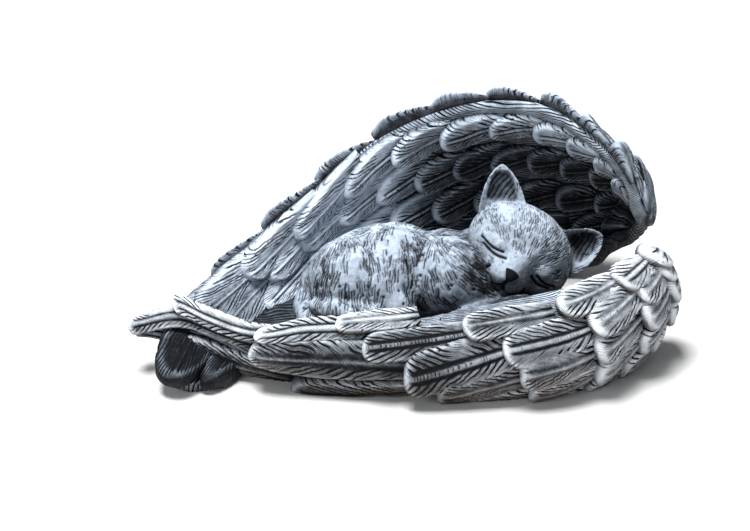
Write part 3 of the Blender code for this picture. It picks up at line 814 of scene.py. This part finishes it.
def skull(rings=110, sides=150):
    """Radius in a direction d: 1/|d/radii|, an egg, plus h exp(-a^2/2w^2) for each lump of height h
    and spread w at the angle a from d. The power 1.25 crowds the rings round the nose."""
    polar = np.linspace(0, math.pi, rings + 2)[1:-1] ** 1.25 / math.pi**0.25
    polar, turn = np.meshgrid(polar, np.linspace(0, 2 * math.pi, sides, endpoint=False), indexing="ij")
    nose = unit(np.array([0.0, 1.0, -0.2]))
    rise = unit(np.cross(np.array([1.0, 0.0, 0.0]), nose))
    sideways = np.cross(nose, rise)
    ring = np.cos(turn)[..., None] * sideways + np.sin(turn)[..., None] * rise
    direction = np.cos(polar)[..., None] * nose + np.sin(polar)[..., None] * ring
    radius = 1 / np.linalg.norm(direction / np.array(SKULL_RADII), axis=-1)
    for towards, height, spread in HEAD_LUMPS:
        angle = np.arccos(np.clip(direction @ unit(np.array(towards)), -1, 1))
        radius = radius + height * np.exp(-0.5 * (angle / spread) ** 2)
    return in_head(direction * radius[..., None])


def ear_taper(share):
    """What is left of the ear's full half-width at that share of its height; it rounds the tip."""
    return (1 - share**1.7) ** 0.62


def ear(mirror, rings=36, sides=60):
    """A flat tube from root to tip. The hollow pushes its edges forward by cos^2 of the turn."""
    root, tip = (np.array(p) * (mirror, 1, 1) for p in (EAR_ROOT, EAR_TIP))
    rise = unit(tip - root)
    side = unit(np.cross(rise, (0.0, 1.0, 0.0)))
    front = np.cross(side, rise)
    share = np.sin(np.linspace(0, math.pi / 2, rings) * 0.98)[:, None]
    turn = np.linspace(0, 2 * math.pi, sides, endpoint=False)[None, :]
    taper = ear_taper(share)
    across = np.cos(turn) * EAR_HALF_WIDTH * taper
    deep = np.sin(turn) * EAR_HALF_THICKNESS * (1 - 0.5 * share)
    deep = deep + EAR_HOLLOW * taper * np.cos(turn) ** 2
    start = root - rise * 5
    middle = start + (tip - start) * share[..., None]
    return in_head(middle + across[..., None] * side + deep[..., None] * front)


head, head_quads = melt([skull(), ear(-1), ear(1)], HEAD_GRAIN)
head = soften(head, head_quads, 12)
print("head skin:", len(head_quads), "quads")

# %% [markdown]
# ## The sleeping face
#
# Two curved slits on each side are the closed eye, with the lid bulging above them. The nose is a
# small dark pad, a line runs down from it and parts along the lips, and the fur strokes fan out
# from the nose over the brow and cheeks. All of it is cut straight into the head's skin: we look at
# each point's (side, up) place on the face and push it in by a narrow Gaussian round each line.

# %% Eyes, nose and mouth
EYE_LINES = (((8.0, -8.2), (13.5, -9.6), (20.0, -8.2)), ((10.5, -6.4), (16.0, -7.3), (22.5, -5.8)))
LID_PLACE, LID_SPREAD = (14.0, -4.2), (6.5, 3.2)
SMOOTH_PLACE, SMOOTH_SPREAD = (14.0, -6.5), (8.5, 4.2)  # the bare skin round each eye
NOSE_PAD, NOSE_HALF_WIDTH = (-1.8, -14.0), 4.0
LIP_LINE = ((0.0, -16.5), (0.4, -18.5), (0.0, -19.5))
MOUTH_LINES = (((0.0, -19.5), (3.4, -22.6), (7.4, -22.0)), ((7.4, -22.0), (10.4, -19.6), (10.6, -15.5)))
local = (head - np.array(HEAD_CENTRE)) @ AXES.T
face_side, face_forward, face_up = local.T
mirrored = np.abs(face_side)
mirror_place = np.stack([mirrored, face_up], 1)
from_midline = np.abs(face_side - NOSE_PAD[0])
muzzle_place = np.stack([from_midline, face_up], 1)
facing = rise_between(face_forward, 1, 7)


def near_line(places, ends, spread):
    """exp(-(d/spread)^2) of the distance d to a smooth curve through three points, sampled finely."""
    curve = spline(np.array(ends), np.linspace(0, 2, 33))
    distance = np.full(len(places), np.inf)
    for point in curve:
        distance = np.minimum(distance, np.hypot(*(places - point).T))
    return bell(distance, spread)


def soft_oval(place, spread):
    """A soft oval on both sides of the face: a bell across times a bell up."""
    return bell(mirrored - place[0], spread[0]) * bell(face_up - place[1], spread[1]) * facing


eye_cut = np.maximum(*(near_line(mirror_place, line, 0.62) for line in EYE_LINES)) * facing
lid = soft_oval(LID_PLACE, LID_SPREAD)
drop = np.clip((face_up - NOSE_PAD[1] + 3.4) / 6.0, 0, 1)
nose_sides = rise_between(NOSE_HALF_WIDTH * drop**0.7 - from_midline, -0.5, 0.6)
nose_top = rise_between(NOSE_PAD[1] + 2.9 - 0.06 * from_midline**2 - face_up, -0.4, 0.5)
nose_pad = nose_sides * nose_top * facing
lips = near_line(muzzle_place, LIP_LINE, 0.6)
for line in MOUTH_LINES:
    lips = np.maximum(lips, near_line(muzzle_place, line, 0.75))
lips = lips * facing
print("eyes over", int((eye_cut > 0.5).sum()), "points, nose over", int((nose_pad > 0.5).sum()))

# %% Ears and fur of the head
HEAD_BUNCHES, HEAD_STROKE = 620, (2.4, 1.1, 0.32)
FUR_PARTING = (0.0, 24.0, -13.0)  # the strokes fan out from the nose
head_normals = point_normals(head, head_quads)
ear_line = np.array(EAR_TIP) - np.array(EAR_ROOT)
ear_side = unit(np.cross(unit(ear_line), (0.0, 1.0, 0.0)))
from_root = np.stack([mirrored, face_forward, face_up], 1) - np.array(EAR_ROOT)
ear_share = from_root @ unit(ear_line) / np.linalg.norm(ear_line)
ear_across = np.abs(from_root @ ear_side) / EAR_HALF_WIDTH
inner_edge = 0.70 * ear_taper(np.clip(ear_share, 0, 1))
in_ear = rise_between(inner_edge - ear_across, 0.0, 0.22) * rise_between(ear_share, -0.02, 0.25)
in_ear = in_ear * rise_between(0.86 - ear_share, 0, 0.1)
in_ear = in_ear * rise_between(head_normals @ AXES[1], 0.1, 0.6) * rise_between(face_up, 9, 13)
from_nose = local - np.array(FUR_PARTING)
head_lies = lie_down(from_nose @ AXES + 0.35 * np.array([0.9, -0.1, -0.2]), head_normals)
quiet = np.max([nose_pad, lips, soft_oval(SMOOTH_PLACE, SMOOTH_SPREAD)], axis=0)
chance = np.random.default_rng(5)
on_show = np.flatnonzero((np.linalg.norm(from_nose, axis=1) > 12) & (quiet < 0.35) & (in_ear < 0.2))
roots = chance.choice(on_show, HEAD_BUNCHES)
head_fur = comb_fur(head, head_normals, head_lies, roots, chance, *HEAD_STROKE) * (1 - quiet)
tufts = cut_of(face_side / 2.2 + 0.5 * hills(face_up / 4, face_side / 4, 9)) * in_ear
lumpy = 0.45 * (hills(local[:, 0] / 4, local[:, 2] / 4, 12) - 0.5) * (1 - quiet)
carving = (  # each form and how many millimetres it is cut in; below zero it stands proud
    (eye_cut, 1.0), (lid, -0.8), (lips, 0.9), (head_fur, 0.42),
    (nose_pad, -0.5), (in_ear, 2.2), (tufts, 0.3),
)
push = sum(form * depth for form, depth in carving)
cat_head = lay_mesh(
    "cat_head", head + head_normals * (lumpy - push)[:, None], head_quads.tolist(),
    {
        "cut": np.clip(np.max([eye_cut, lips, 0.8 * head_fur, 0.5 * tufts], axis=0), 0, 1),
        # Painted light: paleness rises where the skin faces up. The dark number blackens the nose pad and
        # puts a painted shade in the ear hollows.
        "wear_and_painted_light": 0.34 + 0.42 * head_normals[:, 2],
        "dark": np.clip(1.4 * nose_pad + 0.3 * in_ear, 0, 1.4),
    },
)
print("fur cut over", int((head_fur > 0.3).mean() * 100), "% of the head")

# %% [markdown]
# ## The stone finish
#
# The casting is grey cement, stained dark and then brushed with pale grey while the dark stays in the
# cuts. So the colour follows the relief: near black in grooves, mid grey on the flats and pale blue
# grey on the crests. Some light and shade is painted in as well: painted shade where parts lie under
# others and on faces that look down, painted light on faces that look up and in lit regions. Small
# helpers make the node network short to write. `maths` makes a Math node from numbers or other
# nodes' outputs.

# %% Helpers for materials


def connect(tree, value, socket):
    """Sets a socket to a number or colour, or links an output to it."""
    if isinstance(value, bpy.types.NodeSocket):
        tree.links.new(value, socket)
    else:
        socket.default_value = value


def maths(tree, operation, *values, clamp=False):
    """One Math node: operation on one to three numbers or outputs."""
    node = tree.nodes.new("ShaderNodeMath")
    node.operation = operation
    node.use_clamp = clamp
    for value, socket in zip(values, node.inputs):
        connect(tree, value, socket)
    return node.outputs[0]


def mixed_in(tree, total, parts):
    """The total plus each part times its weight."""
    for part, weight in parts:
        total = maths(tree, "MULTIPLY_ADD", part, weight, total)
    return total


def number(tree, title):
    """The attribute of that name as a number per point."""
    node = tree.nodes.new("ShaderNodeAttribute")
    node.attribute_name = title
    return node.outputs["Fac"]


def grains(tree, scale, detail=2.0, rough=0.5, warp=0.0):
    """Random clouds on the piece's own coordinates, scale of them to the metre, 0 to 1."""
    place = tree.nodes.new("ShaderNodeTexCoord").outputs["Object"]
    node = tree.nodes.new("ShaderNodeTexNoise")
    tree.links.new(place, node.inputs["Vector"])
    for title, value in (("Scale", scale), ("Detail", detail), ("Roughness", rough), ("Distortion", warp)):
        node.inputs[title].default_value = value
    return node.outputs["Fac"]


def ramp(tree, value, stops):
    """A colour for each value: stops are (value, colour) pairs, blended between."""
    node = tree.nodes.new("ShaderNodeValToRGB")
    connect(tree, value, node.inputs[0])
    elements = node.color_ramp.elements
    while len(elements) < len(stops):
        elements.new(0.5)
    for element, (place, colour) in zip(elements, stops):
        element.position = place
        element.color = (*colour, 1.0)
    return node.outputs["Color"]


def smooth_step(tree, value, low, high):
    """0 below low, 1 above high, and a smooth rise between."""
    node = tree.nodes.new("ShaderNodeMapRange")
    node.interpolation_type = "SMOOTHSTEP"
    connect(tree, value, node.inputs["Value"])
    node.inputs["From Min"].default_value = low
    node.inputs["From Max"].default_value = high
    return node.outputs["Result"]


# %% [markdown]
# ### Stain, dry brush and pits
#
# One function finishes any piece. It is given how dark the pattern makes the stone (`cut`, 0 to 1:
# the stain of the cuts, with some painted shade) and how high the pattern stands in millimetres
# (`relief`). It adds what all of the stone has: pits left by air bubbles, a fine grain and blotches
# where the brush missed. It also paints shade, dark and brown, on faces that look down. The front
# wing's side looks at the ground more than at the sky, so its stone is made a little less blue.

# %% The stone itself
STAIN = (0.004, 0.005, 0.007)
DARK = (0.028, 0.034, 0.043)
MID = (0.145, 0.170, 0.206)
PALE = (0.39, 0.46, 0.55)
BRUSHED = (0.75, 0.85, 0.97)
BROWN = (0.085, 0.070, 0.058)
# BROWN and PALE_BROWN make the painted shade, dark and brown, on faces that look down.
PALE_BROWN = (0.22, 0.20, 0.19)
GREYS = ((0.0, STAIN), (0.20, DARK), (0.45, MID), (0.72, PALE), (1.0, BRUSHED))
UNDERSIDE_SHADE_BROWNS = ((0.0, STAIN), (0.35, BROWN), (0.8, PALE_BROWN), (1.0, MID))
PALENESS_WEIGHTS = (0.62, 0.45, 0.55, 0.22, -1.0, -0.6)  # of wear and painted light, blotch, patch, grit, cut with its painted shade, and pits
PALENESS_BASE = -0.42


def stone(name, cut_shade_and_relief, brush=0.0, brown_shade_below=0.5, warmth=0.0):
    """Cast stone. Paleness is the weighted sum of wear and painted light, blotches, patches and grit,
    less cuts with their painted shade and pits, plus the brush, and picks a grey. The fourth number is
    how strongly faces that look down get a painted shade, dark and brown, and warmth is the share that
    red gains and blue loses."""
    material = bpy.data.materials.new(name)
    material.use_nodes = True
    tree = material.node_tree
    shader = tree.nodes["Principled BSDF"]
    # cut is the stain of the cuts together with the painted shade that the pattern adds.
    cut, relief = cut_shade_and_relief(tree)
    blotch = grains(tree, 85, 3.0, 0.6)
    patch = grains(tree, 420, 4.0, 0.65)
    grit = grains(tree, 1900, 2.0, 0.6)
    pits = smooth_step(tree, grains(tree, 620, 1.0, 0.5, 0.3), 0.30, 0.22)
    pits = maths(tree, "MULTIPLY", pits, smooth_step(tree, blotch, 0.45, 0.6))
    parts = (number(tree, "wear_and_painted_light"), blotch, patch, grit, cut, pits)
    pale = mixed_in(tree, brush + PALENESS_BASE, zip(parts, PALENESS_WEIGHTS, strict=True))
    pale = maths(tree, "MULTIPLY", pale, 1.0, clamp=True)
    warmed = np.array([1 + warmth, 1.0, 1 - warmth])
    colour = ramp(tree, pale, [(place, shade * warmed) for place, shade in GREYS])
    normal = tree.nodes.new("ShaderNodeNewGeometry").outputs["Normal"]
    split = tree.nodes.new("ShaderNodeSeparateXYZ")
    tree.links.new(normal, split.inputs[0])
    # Painted shade: faces that look down are mixed towards the darker browns.
    painted_shade_below = maths(tree, "MULTIPLY", smooth_step(tree, split.outputs["Z"], 0.25, -0.55), brown_shade_below)
    tint = tree.nodes.new("ShaderNodeMix")
    tint.data_type = "RGBA"
    tree.links.new(painted_shade_below, tint.inputs["Factor"])
    tree.links.new(colour, tint.inputs["A"])
    tree.links.new(ramp(tree, pale, UNDERSIDE_SHADE_BROWNS), tint.inputs["B"])
    tree.links.new(tint.outputs["Result"], shader.inputs["Base Color"])
    shader.inputs["Roughness"].default_value = 0.82
    shader.inputs["Specular IOR Level"].default_value = 0.15
    height = mixed_in(tree, relief, ((patch, 0.30), (grit, 0.10), (pits, -0.5)))
    bump = tree.nodes.new("ShaderNodeBump")
    bump.inputs["Strength"].default_value = 1.0
    bump.inputs["Distance"].default_value = MM
    tree.links.new(height, bump.inputs["Height"])
    tree.links.new(bump.outputs[0], shader.inputs["Normal"])
    return material


# %% [markdown]
# ### Barbs, fur and the nose
#
# The mesh already carries the cuts, but only as finely as its points. So the finish repeats them
# more sharply. On feathers and walls it takes the same sine of the `comb` number and multiplies it
# by the same `depth`, so stain and cut always fall together. It makes the ridges between a little
# paler and adds finer scratches. It also paints shade where a feather's root lies under its
# neighbour, along its side walls, on the wall between feathers and on the bed. On the cat it reads
# the depth of each `cut` directly, blackens the nose and paints shade into the hollows of the ears.

# %% Patterns that follow the carving


def barb_pattern(tree):
    """Cuts where the sine of the comb is high and pale ridges where it is low, with scratches 2.6
    times as close, and the gutters beside the shaft."""
    comb = number(tree, "comb")
    depth = number(tree, "depth")
    wave = maths(tree, "SINE", maths(tree, "MULTIPLY", comb, 2 * math.pi))
    fine = maths(tree, "SINE", maths(tree, "MULTIPLY", comb, 5.2 * math.pi))
    barbs = maths(tree, "MULTIPLY", smooth_step(tree, wave, 0.15, 0.9), depth)
    ridges = maths(tree, "MULTIPLY", smooth_step(tree, wave, -0.2, -0.95), depth)
    scratches = maths(tree, "MULTIPLY", smooth_step(tree, fine, 0.2, 1.0), 0.4)
    scratches = maths(tree, "MULTIPLY", scratches, smooth_step(tree, grains(tree, 210, 2.0), 0.42, 0.6))
    cut = maths(tree, "MAXIMUM", barbs, scratches)
    cut = maths(tree, "MAXIMUM", cut, maths(tree, "MULTIPLY", number(tree, "gutter"), 0.8))
    # Painted shade where the tuck number is high, added to the stain of the cuts.
    stain_and_shade = maths(tree, "MULTIPLY_ADD", number(tree, "tuck_shade"), 0.35, cut)
    stain_and_shade = maths(tree, "MULTIPLY_ADD", ridges, -0.10, stain_and_shade)
    return stain_and_shade, maths(tree, "MULTIPLY", cut, -0.45)


def fur_pattern(tree):
    """Cuts as carved, with full darkness on the nose and a painted shade in the ears."""
    cut = number(tree, "cut")
    thin = maths(tree, "MULTIPLY", maths(tree, "POWER", cut, 1.6), 0.72)
    stain_and_shade = maths(tree, "MULTIPLY_ADD", number(tree, "dark"), 1.0, thin)
    return stain_and_shade, maths(tree, "MULTIPLY", cut, -0.4)


# The front wing's copy has a stronger painted shade on faces that look down and a warmer tint, as its side
# looks at the ground; the back wing's and the cat's have a weaker painted shade.
front_stone = stone("front_wing_stone", barb_pattern, 0.08, 0.9, 0.08)
back_stone = stone("back_wing_stone", barb_pattern, 0.12, 0.4)
cat_stone = stone("cat_stone", fur_pattern, 0.06, 0.3)
finishes = (
    (walls, back_stone),
    (front_outside, front_stone),
    (front_inside, front_stone),
    (back_inside, back_stone),
    (back_outside, back_stone),
    (cat_body, cat_stone),
    (cat_head, cat_stone),
)
for piece, finish in finishes:
    piece.data.materials.append(finish)
    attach(piece, "root")
    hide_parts("cat_in_angel_wings")
print("finished", len(finishes), "pieces")

# %% [markdown]
# ## Floor, light and camera
#
# A pale floor and three soft lamps stand in for an overcast sky: a strong one overhead, a weaker one
# from the left of the front, and a faint one from its right to open the shadows. The camera stands
# 10 degrees to the left of the front and looks down by 30 degrees, with a long lens.

# %% Floor
FLOOR_HALF = 2.0


def floor_piece():
    """A flat square of four metres at the height the ornament stands on."""
    corners = FLOOR_HALF * np.array([(-1, -1, 0), (1, -1, 0), (1, 1, 0), (-1, 1, 0)])
    floor = lay_mesh("floor", corners / MM, [(0, 1, 2, 3)], {})
    paper = bpy.data.materials.new("floor_paper")
    paper.use_nodes = True
    shader = paper.node_tree.nodes["Principled BSDF"]
    shader.inputs["Base Color"].default_value = (0.90, 0.90, 0.89, 1.0)
    shader.inputs["Roughness"].default_value = 0.9
    floor.data.materials.append(paper)
    return floor


floor_piece()
print("floor", 2 * FLOOR_HALF, "m wide")

# %% Lamps and sky
LAMP_TARGET = (0.0, 0.0, 0.05)


def lamp(name, place, energy, size, colour):
    """A square area lamp that points at the middle of the ornament."""
    light = bpy.data.lights.new(name, "AREA")
    light.energy, light.size, light.color = energy, size, colour
    holder = bpy.data.objects.new(name, light)
    holder.location = place
    towards = np.array(LAMP_TARGET) - np.array(place)
    yaw = math.atan2(towards[1], towards[0]) - math.pi / 2
    pitch = math.atan2(math.hypot(towards[0], towards[1]), -towards[2])
    holder.rotation_euler = (pitch, 0.0, yaw)
    bpy.context.scene.collection.objects.link(holder)


lamp("sky_lamp", (-0.22, 0.02, 1.2), 25.0, 0.5, (1.0, 1.0, 1.0))
lamp("left_lamp", (-0.9, -0.7, 0.7), 3.0, 0.5, (0.93, 0.97, 1.0))
lamp("right_lamp", (0.9, -0.8, 0.45), 0.5, 0.8, (1.0, 0.97, 0.93))
world = bpy.data.worlds.new("studio")
world.use_nodes = True
world.node_tree.nodes["Background"].inputs["Color"].default_value = (0.93, 0.95, 1.0, 1.0)
world.node_tree.nodes["Background"].inputs["Strength"].default_value = 0.14
bpy.context.scene.world = world
bpy.context.scene.view_settings.view_transform = "Standard"
print("three lamps and a faint sky")

# %% Camera
DISTANCE, FOCAL_PIXELS, IMAGE_WIDTH = 0.8, 1584.0, 750
SENSOR_WIDTH = 36.0
AIM = (-0.0134, 0.0099, 0.0400)
camera_data = bpy.data.cameras.new("camera")
camera_data.sensor_width = SENSOR_WIDTH
camera_data.lens = FOCAL_PIXELS / IMAGE_WIDTH * SENSOR_WIDTH
camera_data.clip_start = 0.02
camera = bpy.data.objects.new("camera", camera_data)
camera.location = np.array(AIM) + DISTANCE * onlooker()[1]
camera.rotation_euler = (math.radians(90 - FRONT_ELEVATION), 0.0, math.radians(FRONT_AZIMUTH))
bpy.context.scene.collection.objects.link(camera)
bpy.context.scene.camera = camera
print(f"camera lens {camera_data.lens:.1f} mm")
